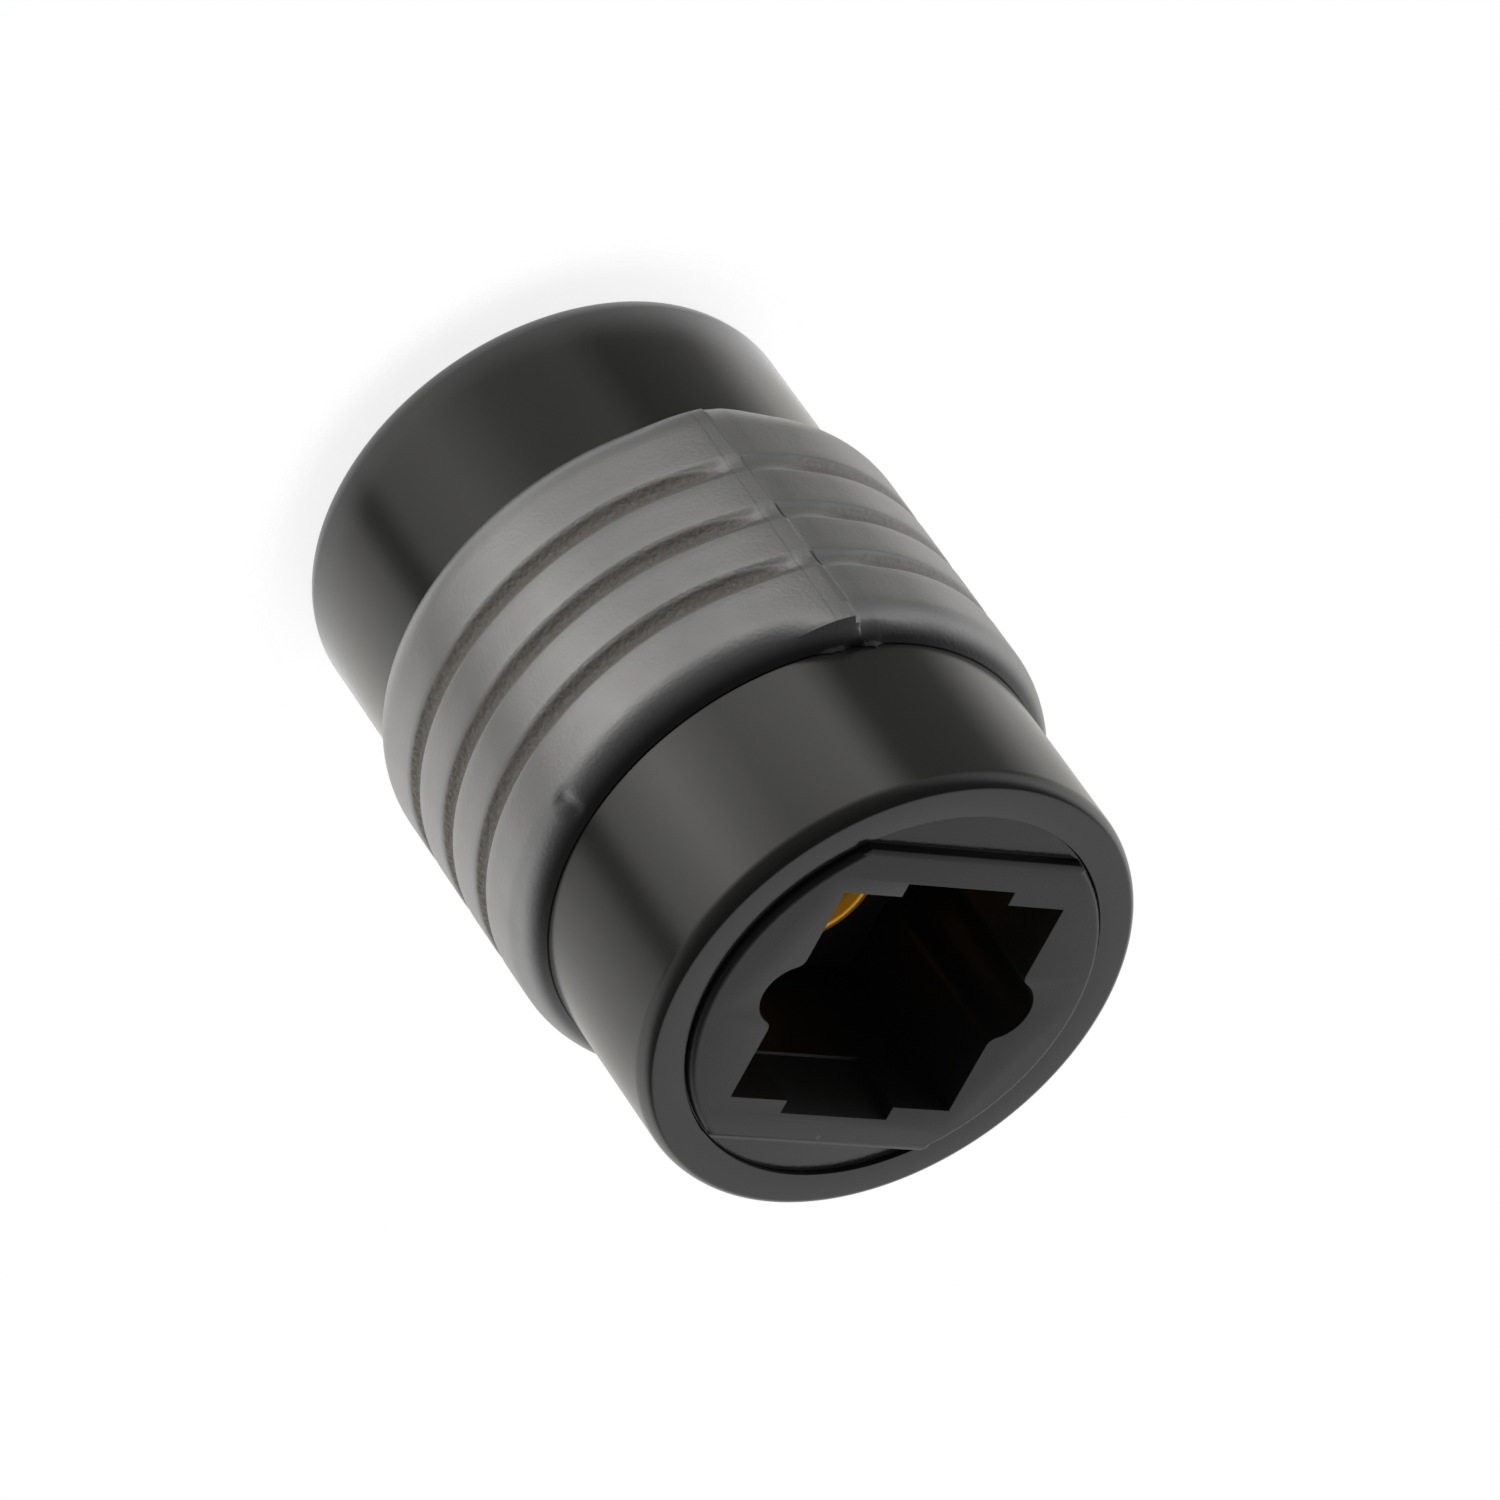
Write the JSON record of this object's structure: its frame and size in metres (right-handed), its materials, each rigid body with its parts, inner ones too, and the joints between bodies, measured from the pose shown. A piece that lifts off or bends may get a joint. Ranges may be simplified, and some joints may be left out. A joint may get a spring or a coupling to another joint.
{
  "type": "optical audio coupler",
  "caption": "Short black barrel with a grey ribbed grip and a square optical audio socket in each end, joined by a brass alignment sleeve, to link two optical plugs.",
  "frame": {"origin": "middle of the rear socket's face, which the coupler stands on", "axes": "+Z along the common axis of both sockets, from the rear socket to the front one; +X along the width of the openings, through the round guide grooves"},
  "size_m": [0.0174, 0.0174, 0.0235],
  "materials": {
    "barrel": "satin black moulded plastic",
    "grip": "dark grey soft moulding with a dull sheen",
    "socket": "matt black moulded plastic",
    "sleeve": "turned brass"
  },
  "bodies": {
    "root": {"barrel": "barrel", "grip": "grip", "front_socket": "socket", "rear_socket": "socket", "ferrule_sleeve": "sleeve"}
  },
  "joints": []
}
